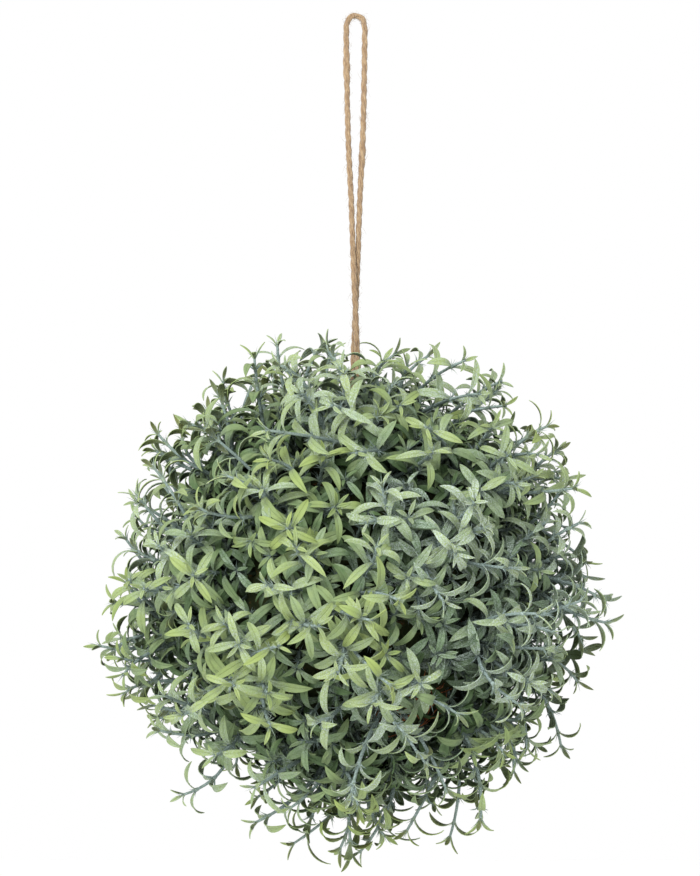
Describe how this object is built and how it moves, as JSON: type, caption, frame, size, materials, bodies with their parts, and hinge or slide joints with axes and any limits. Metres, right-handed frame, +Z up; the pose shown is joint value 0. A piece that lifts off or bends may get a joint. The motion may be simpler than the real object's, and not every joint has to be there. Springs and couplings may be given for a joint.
{
  "type": "hanging artificial foliage ball",
  "caption": "Ball of moulded sage-like sprigs standing out all round a fibre core, hung from a long loop of jute twine.",
  "frame": {"origin": "point inside the top of the twine loop where a hook bears", "axes": "+Z up along the hanging twine, +X to the right across the flat of the loop, front faces -Y"},
  "size_m": [0.2806, 0.2814, 0.4556],
  "materials": {
    "core_fibre": "matted rust-brown plant fibre",
    "foliage": "moulded polyethylene, dusty sage green",
    "jute": "twisted natural jute, hairy"
  },
  "bodies": {
    "root": {"core_ball": "core_fibre", "sprig_01": "foliage", "sprig_02": "foliage", "sprig_03": "foliage", "sprig_04": "foliage", "sprig_05": "foliage", "sprig_06": "foliage", "sprig_07": "foliage", "sprig_08": "foliage", "sprig_09": "foliage", "sprig_10": "foliage", "sprig_11": "foliage", "sprig_12": "foliage", "sprig_13": "foliage", "sprig_14": "foliage", "sprig_15": "foliage", "sprig_16": "foliage", "sprig_17": "foliage", "sprig_18": "foliage", "sprig_19": "foliage", "sprig_20": "foliage", "sprig_21": "foliage", "sprig_22": "foliage", "sprig_23": "foliage", "sprig_24": "foliage", "sprig_25": "foliage", "sprig_26": "foliage", "sprig_27": "foliage", "sprig_28": "foliage", "sprig_29": "foliage", "sprig_30": "foliage", "jute_loop": "jute", "loop_knot": "jute"}
  },
  "joints": []
}
